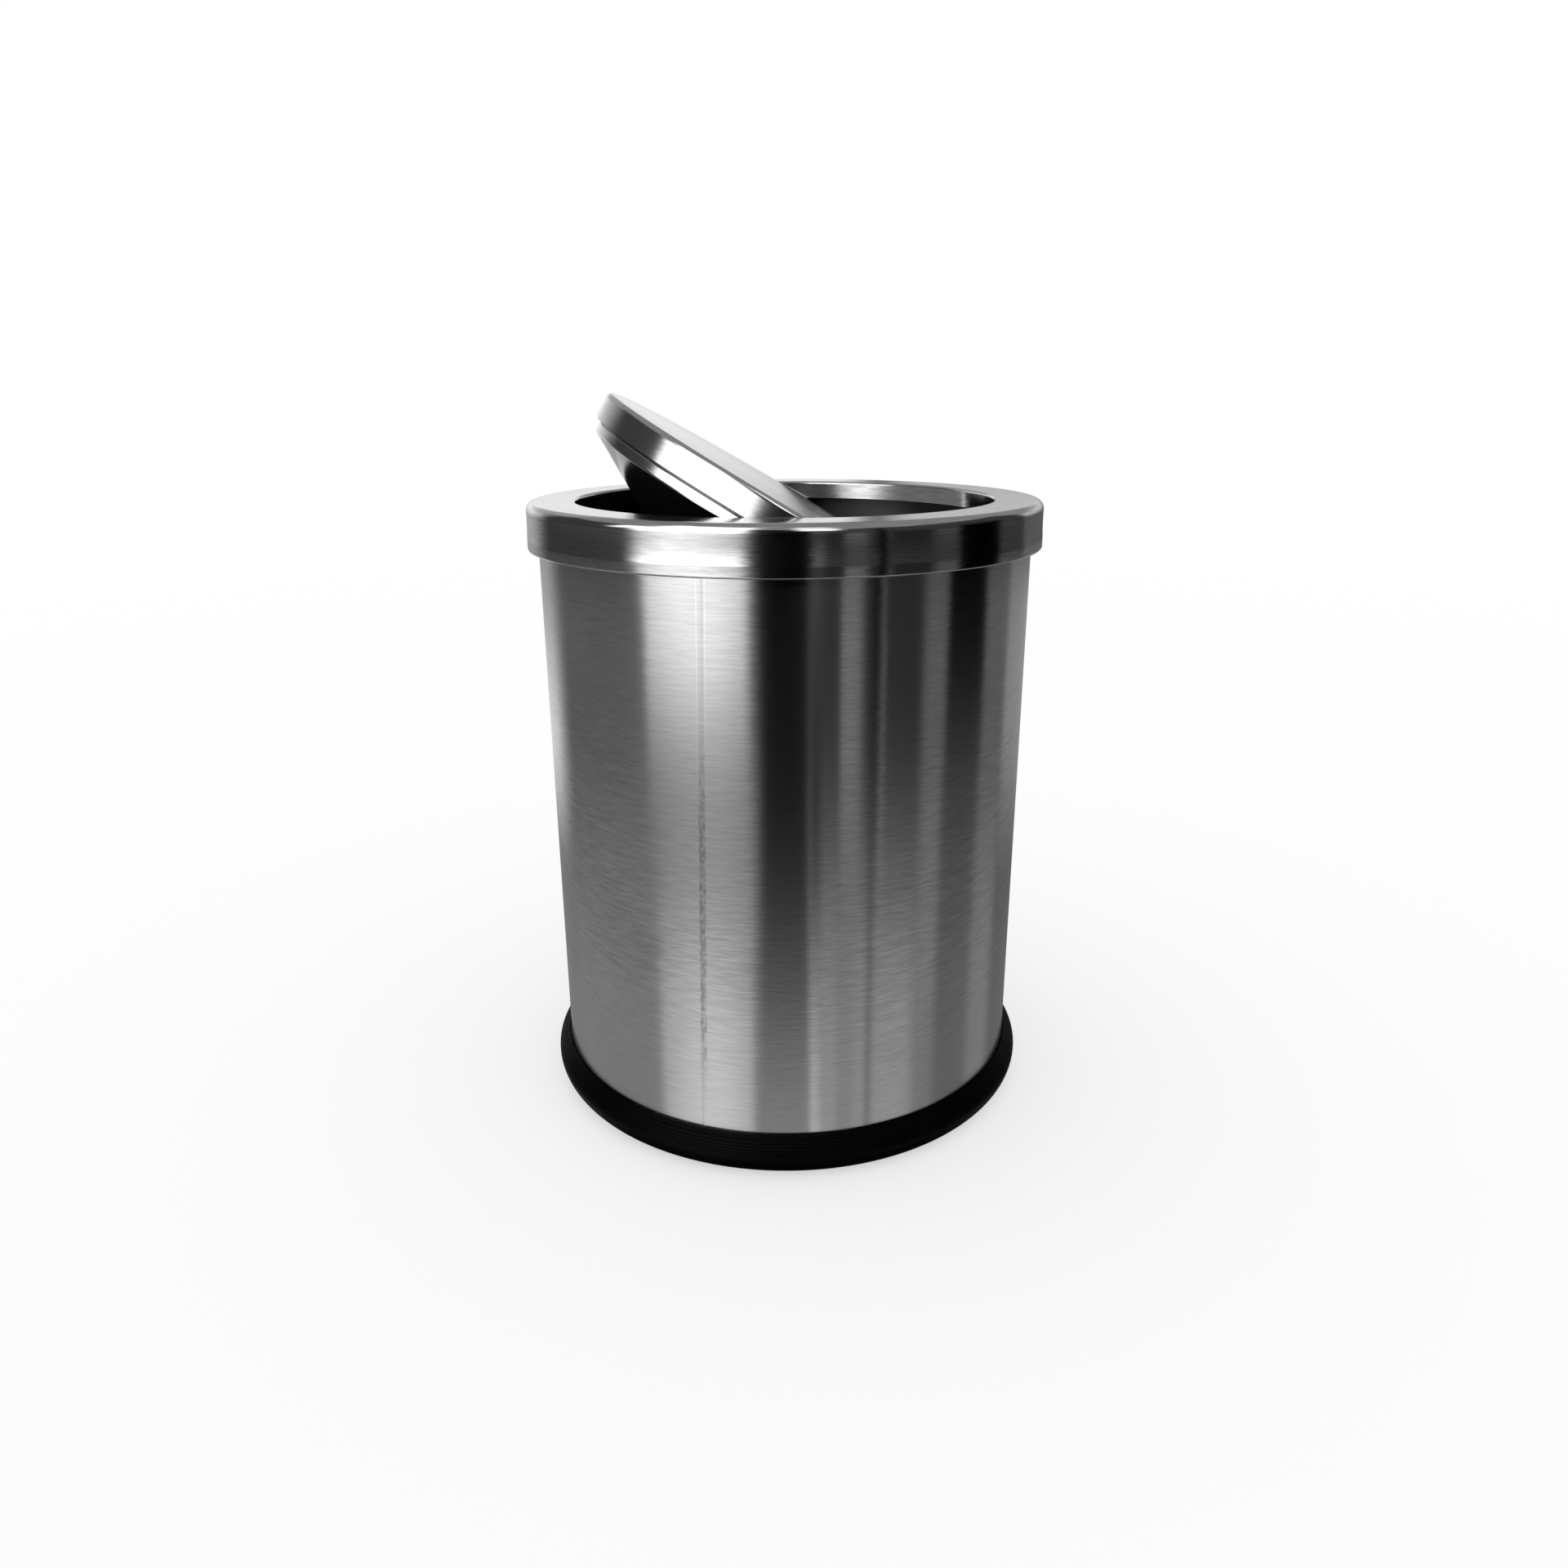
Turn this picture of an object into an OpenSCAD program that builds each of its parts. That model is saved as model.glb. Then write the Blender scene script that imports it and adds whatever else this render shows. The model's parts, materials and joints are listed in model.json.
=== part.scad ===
// Round swing-lid waste bin.
// A rolled tube stands in a ribbed base ring. A lid ring lifts off its top, and a
// weighted flap turns in the ring on two shoulder screws, free to swing right over.
// Origin: centre of the base, on the floor. +Z is up, and the flap turns about Y.

/* [Bin] */
// Outer diameter of the tube
body_d = 243.6; // [200:0.2:300]
// Height from the floor to the top of the lid ring
bin_h = 307; // [240:1:450]
// Thickness of the stainless sheet
sheet_t = 0.8; // [0.5:0.1:1]
// Width of the weld seam down the tube
seam_w = 1.4; // [0.8:0.1:2]
// Direction of the weld seam, in degrees from +X
seam_angle = -111; // [-180:1:180]

/* [Bottom] */
// Height of the bottom panel above the floor
panel_lift = 12; // [9:0.5:18]
// Bend radius at the edge of the bottom panel
panel_bend_r = 3; // [1.5:0.5:5]
// Width of the low margin round the raised middle
panel_margin = 18; // [12:1:30]
// Rise of the raised middle of the bottom panel
panel_step = 2; // [1:0.5:4]

/* [Base ring] */
// Height of the base ring
base_h = 20; // [19:0.5:30]
// How far the base ring stands out from the tube at its widest
base_overhang = 6.9; // [5:0.1:9]
// Height of its widest line above the floor
base_widest_z = 10.5; // [8:0.5:11]
// How far the foot of the base ring is drawn in from its widest line
base_foot_inset = 6.5; // [3:0.5:8]
// How far the top of the base ring is drawn in from its widest line
base_top_inset = 2.4; // [1:0.2:3]
// Thickness of the web under the tube
base_web_t = 3; // [2:0.5:4]
// Width of the web, inwards from the tube
base_web_w = 10; // [6:1:20]
// Radius of the top edge of the base ring
base_edge_r = 1; // [0.5:0.1:1.5]
// Number of fine grooves round the base ring
groove_count = 6; // [3:1:7]
// Distance from groove to groove
groove_pitch = 1.4; // [1.2:0.1:1.6]
// Depth of a groove
groove_depth = 0.45; // [0.3:0.05:0.5]

/* [Lid ring] */
// How far the lid ring stands out from the tube
ring_overhang = 5.2; // [5:0.2:8]
// Width of the flat top of the ring, lip to skirt
ring_w = 23.8; // [20:0.2:34]
// Height of the skirt
ring_h = 22.2; // [18:0.2:30]
// Radius of the outer top corner
ring_corner_r = 4; // [2:0.5:6]
// How far the skirt is drawn in at half height
skirt_waist = 0.3; // [0:0.1:0.6]
// Height of the folded hem
hem_h = 5; // [3:0.5:8]
// Depth of the lip that turns down into the opening
lip_depth = 9.2; // [8:0.2:11]
// Bend radius between the lip and the flat top
lip_bend_r = 1.4; // [1:0.2:2.4]

/* [Flap] */
// Angle at which the flap stands open
flap_tilt = 30.1; // [-80:0.1:80]
// Gap between the flap and the lip
flap_gap = 1; // [0.8:0.1:3]
// Depth of the pivots below the top of the ring
pivot_depth = 8.4; // [8:0.2:14]
// Height of the flap's top face above the pivots
flap_rise = 8.6; // [7.6:0.2:9]
// Height of the top pan, skirt included
pan_h = 12.8; // [12.6:0.2:18]
// Radius of the top pan's edge
pan_edge_r = 2.4; // [1:0.2:3]
// Open seam between the two pans
pan_seam = 0.8; // [0.5:0.1:1.4]
// Height of the rim band of the cone pan
band_h = 5.8; // [4.6:0.2:9]
// How far the band stands in from the skirt above it
band_inset = 2.6; // [2:0.1:4]
// Height of the cone pan's collar inside the top pan
collar_h = 4; // [2:0.5:4]
// Slope of the cone next to its band, in degrees
cone_slope_out = 31; // [20:1:40]
// Slope of the cone next to its hub, in degrees
cone_slope_in = 37; // [20:1:45]
// Radius of the flat hub of the cone
hub_r = 36; // [32:1:50]

/* [Pivots] */
// Radius of the screw shoulder that turns in the bush
shoulder_r = 2.5; // [2:0.25:3]
// Running clearance between shoulder and bush
bush_clear = 0.05; // [0.02:0.01:0.1]
// Wall of the bush
bush_wall = 1.2; // [0.8:0.1:1.6]
// Radius of the bush flange
bush_flange_r = 5; // [4.5:0.25:6]
// Thickness of the bush flange
bush_flange_t = 0.8; // [0.6:0.1:1]
// Thickness of the bracket steel
bracket_t = 1.5; // [1.2:0.1:2]
// Width of a bracket
bracket_w = 18; // [16:1:26]
// Radius of the screw thread through the flap skirt
thread_r = 1.9; // [1.5:0.1:2]
// Radius of the screw head
head_r = 4.5; // [4:0.5:5.5]
// Height of the screw head
head_h = 2.4; // [2:0.2:3]
// Width across the flats of the socket in the screw head
socket_af = 3; // [2.5:0.5:4]
// Radius of the washer behind the skirt
washer_r = 4; // [3.6:0.1:4.1]
// Thickness of that washer
washer_t = 0.8; // [0.5:0.1:1.2]
// Width across the flats of the nut
nut_af = 6; // [5.5:0.25:6.5]
// Height of the nut
nut_h = 3.2; // [2.4:0.2:4]

/* [Counterweight] */
// Radius of the weight
weight_r = 30; // [20:1:31]
// Height of the weight
weight_h = 10; // [6:1:14]
// Radius of the screw that holds the weight
weight_screw_r = 3; // [2.5:0.5:3]
// Radius of that screw's head
weight_head_r = 6; // [5:0.5:8]
// Height of that screw's head
weight_head_h = 3; // [2:0.5:4]
// Radius of its washer
weight_washer_r = 7; // [6:0.5:9]
// Thickness of its washer
weight_washer_t = 1.2; // [0.8:0.2:2]
// Width across the flats of its nut
weight_nut_af = 10; // [9:0.5:12]
// Height of its nut
weight_nut_h = 5; // [4:0.5:6]

/* [Fits] */
// Air between the lid and the bin
lid_gap = 0.3; // [0.2:0.1:0.6]
// Play between pressed pieces that nest
nest_gap = 0.1; // [0.05:0.05:0.2]
// Play of a screw in its hole
hole_clear = 0.1; // [0.05:0.05:0.3]
// Air between the screw head and the bush
end_float = 0.3; // [0.2:0.1:0.6]
// Air between the bush flange and the lip
lip_clear = 0.4; // [0.3:0.1:0.8]
// Air between a bracket and the tube
bracket_clear = 3; // [1.5:0.5:4]
// Air round a pivot where it passes the lip or the collar
notch_clear = 0.8; // [0.5:0.1:1.5]
// Length of thread beyond a nut
thread_end = 1.5; // [0.5:0.5:3]

/* [Hidden] */
$fn = 96;

steel = [0.72, 0.73, 0.74];
bright_steel = [0.82, 0.83, 0.84];
zinc = [0.62, 0.63, 0.65];
cast_grey = [0.34, 0.35, 0.36];
black = [0.06, 0.06, 0.065];
nylon = [0.9, 0.9, 0.86];
front = -1;
rear = 1;
cut = 1;          // how far a cutting shape runs past the face that it cuts

// Tube and bottom
body_r = body_d / 2;
body_in_r = body_r - sheet_t;
plate_r = body_in_r - nest_gap;
seam_proud = 0.12;
seam_turn = seam_w / body_r * 180 / PI;   // angle that the weld takes up

// Base ring
base_r = body_r + base_overhang;
base_in_r = body_r + nest_gap;
base_rise = base_h - base_edge_r - base_widest_z;
upper_bulge_r = bulge_radius(base_rise, base_top_inset);
lower_bulge_r = bulge_radius(base_widest_z, base_foot_inset);
groove_top = base_h - base_edge_r - 0.6 * groove_pitch;

// Lid ring
ring_r = body_r + ring_overhang;
opening_r = ring_r - ring_w;
lip_out_r = opening_r + sheet_t;
skirt_z = bin_h - ring_h;
hem_in_r = ring_r - 2 * sheet_t;

// The bead fills the ring and still lets its hem pass as the lid lifts
bead_r = (hem_in_r - lid_gap - body_in_r) / 2;
bead_z = bin_h - sheet_t - lid_gap - bead_r;

// Flap, in its own frame: pivots at the origin, top face level at +Z
pivot_z = bin_h - pivot_depth;
flap_r = opening_r - flap_gap;
flap_in_r = flap_r - sheet_t;
skirt_end = flap_rise - pan_h;
band_r = flap_r - band_inset;
band_top = skirt_end - pan_seam;
band_end = band_top - band_h;
collar_r = flap_in_r - nest_gap;
cone_w = band_r - hub_r;
cone_mid_r = band_r - cone_w / 2;
cone_mid_z = band_end - cone_w / 2 * tan(cone_slope_out);
hub_z = cone_mid_z - cone_w / 2 * tan(cone_slope_in);
hub_floor = hub_z + sheet_t;

// Along a pivot, outwards from the middle of the bin
flange_y = lip_out_r + lip_clear;
bracket_y = flange_y + bush_flange_t;
bracket_out_y = bracket_y + bracket_t;
bush_end_y = bracket_out_y + end_float;
head_y = bush_end_y + end_float;
bush_r = shoulder_r + bush_clear;
bush_out_r = bush_r + bush_wall;
bracket_end_r = body_in_r - bracket_clear;
flat_y = sqrt(pow(flap_in_r, 2) - pow(washer_r, 2));   // flat seat behind the curved skirt
nut_y = flat_y - washer_t;

// Counterweight stack, upwards from the hub
weight_top = hub_floor + weight_h;
weight_nut_z = weight_top + weight_washer_t;

// Points along an arc about [r, z]
function arc(r, z, radius, from, to, steps = 8) =
    [for (i = [0 : steps]) let (a = from + (to - from) * i / steps)
        [r + radius * cos(a), z + radius * sin(a)]];

// Radius of an arc that is upright at its widest and drawn in by inset over height h
function bulge_radius(h, inset) = (h * h + inset * inset) / (2 * inset);

// How far such an arc is drawn in at the height z above its widest
function drawn_in(radius, z) = radius - sqrt(radius * radius - z * z);

// A sheet is a path with a thickness on its left-hand side
function left_of(a, b) = let (d = (b - a) / norm(b - a)) [-d[1], d[0]];
function mitre(n1, n2, t) = let (m = (n1 + n2) / norm(n1 + n2)) m * t / (m * n1);
function side_point(p, i, t) =
    i == 0 ? p[0] + t * left_of(p[0], p[1]) :
    i == len(p) - 1 ? p[i] + t * left_of(p[i - 1], p[i]) :
    p[i] + mitre(left_of(p[i - 1], p[i]), left_of(p[i], p[i + 1]), t);
function sheet(p, t) = concat(p, [for (i = [len(p) - 1 : -1 : 0]) side_point(p, i, t)]);

module spin_sheet(path, t = sheet_t) {
    rotate_extrude() polygon(sheet(path, t));
}

// Places a piece of the flap where the flap stands
module in_flap() {
    translate([0, 0, pivot_z]) rotate([0, flap_tilt, 0]) children();
}

// Turns a shape drawn up +Z so that it runs out along a pivot
module along_pivot(side) {
    rotate([-90 * side, 0, 0]) children();
}

module body_tube() {
    roll_r = bead_r - sheet_t;
    color(steel) {
        // The wall, with its top edge rolled outwards into a bead
        spin_sheet(concat(
            [[body_r, base_web_t]],
            arc(body_r + roll_r, bead_z, roll_r, 180, -110, 20)));
        // The weld stands a little proud, up to just under the bead
        rotate([0, 0, seam_angle - seam_turn / 2]) rotate_extrude(angle = seam_turn)
            translate([body_r - sheet_t / 2, base_web_t])
                square([sheet_t / 2 + seam_proud, bead_z - sheet_t - base_web_t]);
    }
}

module bottom_plate() {
    bend_r = panel_bend_r;
    step_r = plate_r - panel_margin;
    // Top face from the middle outwards, and down the flange to the base ring's web
    path = concat(
        [[0, panel_lift + panel_step],
         [step_r - 2 * panel_step, panel_lift + panel_step],
         [step_r, panel_lift]],
        arc(plate_r - bend_r, panel_lift - bend_r, bend_r, 90, 0, 6),
        [[plate_r, base_web_t]]);
    color(steel) spin_sheet(path, -sheet_t);
}

// Moulded ring with a bulged wall: drawn in a lot at the foot and a little at the top
module base_ring() {
    foot_turn = asin(base_widest_z / lower_bulge_r);
    top_turn = asin(base_rise / upper_bulge_r);
    color(black) rotate_extrude() difference() {
        polygon(concat(
            [[body_in_r - base_web_w, 0]],
            arc(base_r - lower_bulge_r, base_widest_z, lower_bulge_r, -foot_turn, 0, 8),
            arc(base_r - upper_bulge_r, base_widest_z, upper_bulge_r, 0, top_turn, 8),
            arc(base_r - base_top_inset - base_edge_r, base_h - base_edge_r, base_edge_r,
                top_turn, 90, 4),
            [[base_in_r, base_h], [base_in_r, base_web_t],
             [body_in_r - base_web_w, base_web_t]]));
        for (i = [0 : groove_count - 1]) {
            z = groove_top - i * groove_pitch;
            translate([base_r - drawn_in(upper_bulge_r, z - base_widest_z), z])
                rotate(45) square(groove_depth * sqrt(2), center = true);
        }
    }
}

module lid_ring() {
    waist_z = (skirt_z + bin_h - ring_corner_r) / 2;
    path = concat(
        [[opening_r, bin_h - lip_depth]],
        arc(opening_r + lip_bend_r, bin_h - lip_bend_r, lip_bend_r, 180, 90, 6),
        arc(ring_r - ring_corner_r, bin_h - ring_corner_r, ring_corner_r, 90, 0, 8),
        [[ring_r - skirt_waist, waist_z], [ring_r, skirt_z + hem_h],
         [ring_r, skirt_z + sheet_t]]);
    color(steel) difference() {
        union() {
            spin_sheet(path, -sheet_t);
            // The hem is folded flat against the inside of the skirt
            rotate_extrude() {
                translate([hem_in_r, skirt_z + sheet_t])
                    square([2 * sheet_t, hem_h - sheet_t]);
                translate([ring_r - sheet_t, skirt_z + sheet_t]) circle(r = sheet_t);
            }
        }
        for (side = [front, rear])
            translate([0, 0, pivot_z]) along_pivot(side)
                translate([0, 0, opening_r - cut])
                    cylinder(r = shoulder_r + notch_clear, h = sheet_t + 2 * cut);
    }
}

// Angle bracket: a leg welded under the ring, and a round-ended plate with the bush
module pivot_bracket(side) {
    drop = bin_h - sheet_t - pivot_z;
    color(zinc) translate([0, 0, pivot_z]) rotate([0, 0, side == front ? 180 : 0]) {
        difference() {
            union() {
                translate([-bracket_w / 2, bracket_y, drop - bracket_t])
                    cube([bracket_w, bracket_end_r - bracket_y, bracket_t]);
                translate([0, bracket_out_y, 0]) rotate([90, 0, 0])
                    linear_extrude(bracket_t) intersection() {
                        union() {
                            circle(r = bracket_w / 2);
                            translate([-bracket_w / 2, 0]) square([bracket_w, drop]);
                        }
                        translate([-bracket_w / 2, -bracket_w])
                            square([bracket_w, bracket_w + drop]);
                    }
            }
            translate([0, bracket_y - cut, 0]) along_pivot(rear)
                cylinder(r = bush_out_r, h = bracket_t + 2 * cut);
        }
    }
}

module pivot_bush(side) {
    color(nylon) translate([0, 0, pivot_z]) along_pivot(side) difference() {
        union() {
            translate([0, 0, flange_y]) cylinder(r = bush_flange_r, h = bush_flange_t);
            translate([0, 0, flange_y]) cylinder(r = bush_out_r, h = bush_end_y - flange_y);
        }
        translate([0, 0, flange_y - cut])
            cylinder(r = bush_r, h = bush_end_y - flange_y + 2 * cut);
    }
}

module flap_top_pan() {
    path = concat(
        [[0, flap_rise]],
        arc(flap_r - pan_edge_r, flap_rise - pan_edge_r, pan_edge_r, 90, 0, 8),
        [[flap_r, skirt_end]]);
    color(bright_steel) in_flap() difference() {
        spin_sheet(path, -sheet_t);
        along_pivot(rear) translate([0, 0, -flap_r - cut])
            cylinder(r = thread_r + hole_clear, h = 2 * (flap_r + cut));
    }
}

module flap_cone_pan() {
    bend_r = 1.6;
    // Outer face from the collar down over the band, the cone and the hub
    path = concat(
        [[collar_r, skirt_end + collar_h], [collar_r, skirt_end - pan_seam / 2]],
        arc(band_r - bend_r, band_top - bend_r, bend_r, 60, 0, 4),
        arc(band_r - bend_r, band_end + bend_r, bend_r, 0, cone_slope_out - 90, 5),
        [[cone_mid_r, cone_mid_z], [hub_r, hub_z], [0, hub_z]]);
    color(bright_steel) in_flap() difference() {
        spin_sheet(path, -sheet_t);
        translate([0, 0, hub_z - cut])
            cylinder(r = weight_screw_r + hole_clear, h = sheet_t + 2 * cut);
        // The collar is notched for the washers and nuts of the pivots
        along_pivot(rear) translate([0, 0, -flap_r])
            cylinder(r = washer_r + notch_clear, h = 2 * flap_r);
    }
}

// Shoulder screw: head outside the bush, shoulder up to the skirt, thread inside
module pivot_screw(side) {
    thread_y = nut_y - nut_h - thread_end;
    color(zinc) in_flap() along_pivot(side) difference() {
        union() {
            translate([0, 0, thread_y]) cylinder(r = thread_r, h = flap_r - thread_y + cut);
            translate([0, 0, flap_r]) cylinder(r = shoulder_r, h = head_y - flap_r);
            translate([0, 0, head_y]) cylinder(r = head_r, h = head_h);
        }
        translate([0, 0, head_y + head_h / 3])
            cylinder(d = socket_af / cos(30), h = head_h, $fn = 6);
    }
}

module screw_washer(side) {
    color(zinc) in_flap() along_pivot(side) translate([0, 0, nut_y]) difference() {
        cylinder(r = washer_r, h = washer_t);
        translate([0, 0, -cut])
            cylinder(r = thread_r + hole_clear, h = washer_t + 2 * cut);
    }
}

module screw_nut(side) {
    color(zinc) in_flap() along_pivot(side) translate([0, 0, nut_y - nut_h]) difference() {
        cylinder(d = nut_af / cos(30), h = nut_h, $fn = 6);
        translate([0, 0, -cut]) cylinder(r = thread_r + nest_gap / 2, h = nut_h + 2 * cut);
    }
}

module counterweight() {
    color(cast_grey) in_flap() translate([0, 0, hub_floor]) difference() {
        cylinder(r = weight_r, h = weight_h);
        translate([0, 0, -cut])
            cylinder(r = weight_screw_r + hole_clear, h = weight_h + 2 * cut);
    }
}

module weight_screw() {
    shank_top = weight_nut_z + weight_nut_h + thread_end;
    color(zinc) in_flap() difference() {
        union() {
            translate([0, 0, hub_z - weight_head_h])
                cylinder(r = weight_head_r, h = weight_head_h);
            translate([0, 0, hub_z - cut])
                cylinder(r = weight_screw_r, h = shank_top - hub_z + cut);
        }
        translate([0, 0, hub_z - weight_head_h - cut])
            cylinder(d = socket_af / cos(30), h = weight_head_h / 2 + cut, $fn = 6);
    }
}

module weight_washer() {
    color(zinc) in_flap() translate([0, 0, weight_top]) difference() {
        cylinder(r = weight_washer_r, h = weight_washer_t);
        translate([0, 0, -cut])
            cylinder(r = weight_screw_r + hole_clear, h = weight_washer_t + 2 * cut);
    }
}

module weight_nut() {
    color(zinc) in_flap() translate([0, 0, weight_nut_z]) difference() {
        cylinder(d = weight_nut_af / cos(30), h = weight_nut_h, $fn = 6);
        translate([0, 0, -cut])
            cylinder(r = weight_screw_r + nest_gap / 2, h = weight_nut_h + 2 * cut);
    }
}

body_tube();
bottom_plate();
base_ring();
lid_ring();
pivot_bracket(front);  // pivot_bracket_front
pivot_bracket(rear);  // pivot_bracket_rear
pivot_bush(front);  // pivot_bush_front
pivot_bush(rear);  // pivot_bush_rear
flap_top_pan();
flap_cone_pan();
pivot_screw(front);  // pivot_screw_front
pivot_screw(rear);  // pivot_screw_rear
screw_washer(front);  // screw_washer_front
screw_washer(rear);  // screw_washer_rear
screw_nut(front);  // screw_nut_front
screw_nut(rear);  // screw_nut_rear
counterweight();
weight_screw();
weight_washer();
weight_nut();
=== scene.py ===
import json
import math

import bmesh
import bpy
from mathutils import Matrix, Vector

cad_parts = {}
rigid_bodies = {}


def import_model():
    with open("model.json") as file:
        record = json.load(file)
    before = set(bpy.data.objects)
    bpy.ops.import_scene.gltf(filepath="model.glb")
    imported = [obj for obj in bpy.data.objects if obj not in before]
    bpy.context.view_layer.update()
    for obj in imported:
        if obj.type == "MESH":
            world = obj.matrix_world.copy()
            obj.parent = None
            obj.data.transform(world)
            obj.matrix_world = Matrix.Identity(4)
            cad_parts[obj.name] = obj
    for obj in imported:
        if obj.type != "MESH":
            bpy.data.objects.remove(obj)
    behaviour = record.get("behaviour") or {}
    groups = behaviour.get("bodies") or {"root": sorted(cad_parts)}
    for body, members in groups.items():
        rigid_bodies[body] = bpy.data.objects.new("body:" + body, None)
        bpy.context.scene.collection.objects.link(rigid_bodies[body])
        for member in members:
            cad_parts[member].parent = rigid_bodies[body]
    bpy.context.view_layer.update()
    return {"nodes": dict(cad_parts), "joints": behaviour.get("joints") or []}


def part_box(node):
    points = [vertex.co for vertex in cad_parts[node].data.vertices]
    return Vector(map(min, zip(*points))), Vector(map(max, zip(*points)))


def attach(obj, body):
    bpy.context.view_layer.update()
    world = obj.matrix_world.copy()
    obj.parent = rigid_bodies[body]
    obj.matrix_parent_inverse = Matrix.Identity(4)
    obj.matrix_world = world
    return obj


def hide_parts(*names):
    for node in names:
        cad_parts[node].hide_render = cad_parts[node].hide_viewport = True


for leftOver in list(bpy.data.objects):
    bpy.data.objects.remove(leftOver)
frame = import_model()

scene = bpy.context.scene
scene.view_settings.view_transform = "Standard"
mm = 0.001

pivot = Vector(next(j for j in frame["joints"] if j["name"] == "flap_swing")["pos_m"])
lidLow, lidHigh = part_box("lid_ring")
ringRadius = lidHigh.x
ringTop = lidHigh.z


cameraView = {
    "distance": 0.6023,          # from the bin's axis
    "height": 0.3572,
    "azimuth": -3.4,             # degrees, 0 looks along +Y
    "aside": 0.09,               # degrees, the bin stands a little right of the middle
    "down": 18.48,               # degrees below level
    "roll": -0.25,
    "lens": 27.04,
    "sensor": 36,
    "nearest": 0.01,
}


def makeCamera(look):
    turn = math.radians(look["azimuth"])
    data = bpy.data.cameras.new("camera")
    data.lens = look["lens"]
    data.sensor_width = look["sensor"]
    data.sensor_height = look["sensor"]
    data.clip_start = look["nearest"]
    camera = bpy.data.objects.new("camera", data)
    scene.collection.objects.link(camera)
    place = Matrix.Translation((
        look["distance"] * math.sin(turn), -look["distance"] * math.cos(turn), look["height"]))
    heading = Matrix.Rotation(turn + math.radians(look["aside"]), 4, "Z")
    pitch = Matrix.Rotation(math.radians(90 - look["down"]), 4, "X")
    roll = Matrix.Rotation(math.radians(look["roll"]), 4, "Z")
    camera.matrix_world = place @ heading @ pitch @ roll
    scene.camera = camera


makeCamera(cameraView)
print("camera set")


class Tree:
    # a material's node tree, with short calls to add and wire nodes
    def __init__(self, name):
        self.material = bpy.data.materials.new(name)
        self.material.use_nodes = True
        self.nodes = self.material.node_tree.nodes
        self.links = self.material.node_tree.links
        self.nodes.clear()
        self.out = self.add("OutputMaterial")

    def add(self, kind, **settings):
        node = self.nodes.new("ShaderNode" + kind)
        for key, value in settings.items():
            setattr(node, key, value)
        return node

    def wire(self, source, target):
        self.links.new(source, target)

    def feed(self, socket, value):
        if isinstance(value, bpy.types.NodeSocket):
            self.wire(value, socket)
        else:
            socket.default_value = value

    def coords(self, kind="Object"):
        return self.add("TexCoord").outputs[kind]

    def part(self, vector, axis):
        node = self.add("SeparateXYZ")
        self.wire(vector, node.inputs[0])
        return node.outputs[axis]

    def math(self, operation, a, b=0.0, clamp=False):
        node = self.add("Math", operation=operation, use_clamp=clamp)
        self.feed(node.inputs[0], a)
        self.feed(node.inputs[1], b)
        return node.outputs[0]

    def product(self, value, *others):
        for other in others:
            value = self.math("MULTIPLY", value, other)
        return value

    def weighted(self, *pairs):
        # the sum of some values, each times its weight
        parts = [self.math("MULTIPLY", value, weight) for value, weight in pairs]
        total = parts[0]
        for other in parts[1:]:
            total = self.math("ADD", total, other)
        return total

    def vector(self, operation, a, b=(0, 0, 0), scale=None):
        node = self.add("VectorMath", operation=operation)
        self.feed(node.inputs[0], a)
        self.feed(node.inputs[1], b)
        if scale is not None:
            self.feed(node.inputs["Scale"], scale)
        return node.outputs[0]

    def length(self, vector):
        node = self.add("VectorMath", operation="LENGTH")
        self.wire(vector, node.inputs[0])
        return node.outputs["Value"]

    def remap(self, value, low, high, toLow=0.0, toHigh=1.0, smooth=False):
        node = self.add("MapRange")
        if smooth:
            node.interpolation_type = "SMOOTHSTEP"
        for socket, number in zip(node.inputs, (value, low, high, toLow, toHigh)):
            self.feed(socket, number)
        return node.outputs[0]

    def noise(self, coords, scale=1.0, detail=2.0, rough=0.5):
        node = self.add("TexNoise")
        self.wire(coords, node.inputs["Vector"])
        node.inputs["Scale"].default_value = scale
        node.inputs["Detail"].default_value = detail
        node.inputs["Roughness"].default_value = rough
        return node.outputs["Fac"]

    def blend(self, factor, a, b):
        # 6, 7 and 2 are the Mix node's colour sockets
        node = self.add("Mix", data_type="RGBA")
        self.feed(node.inputs[0], factor)
        self.feed(node.inputs[6], a)
        self.feed(node.inputs[7], b)
        return node.outputs[2]

    def bump(self, height, distance, normal=None):
        node = self.add("Bump")
        node.inputs["Strength"].default_value = 1.0
        node.inputs["Distance"].default_value = distance
        self.wire(height, node.inputs["Height"])
        if normal is not None:
            self.wire(normal, node.inputs["Normal"])
        return node.outputs[0]

    def layer(self, cover, below, above):
        node = self.add("MixShader")
        self.wire(cover, node.inputs[0])
        self.wire(below, node.inputs[1])
        self.wire(above, node.inputs[2])
        return node.outputs[0]

    def glow(self, level=1.0):
        node = self.add("Emission")
        self.feed(node.inputs["Strength"], level)
        return node.outputs[0]

    def surface(self, shader):
        self.wire(shader, self.out.inputs["Surface"])

    def shader(self, colour, **values):
        node = self.add("BsdfPrincipled")
        for key, value in values.items():
            self.feed(node.inputs[key], value)
        self.wire(colour, node.inputs["Base Color"])
        self.surface(node.outputs[0])
        return node


def grey(level, tint=0.0):
    return (level * (1 - tint), level, level * (1 + tint), 1)


def aroundGrain(tree, around, across):
    # coordinates that run round the axis of a turned piece and along its outline
    flat = tree.vector("MULTIPLY", tree.coords(), (1, 1, 0))
    ring = tree.vector("SCALE", tree.vector("NORMALIZE", flat), scale=around)
    along = tree.part(tree.coords("UV"), "Y")
    rise = tree.add("CombineXYZ")
    tree.feed(rise.inputs["Z"], tree.math("MULTIPLY", along, across))
    return tree.vector("ADD", ring, rise.outputs[0])


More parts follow.
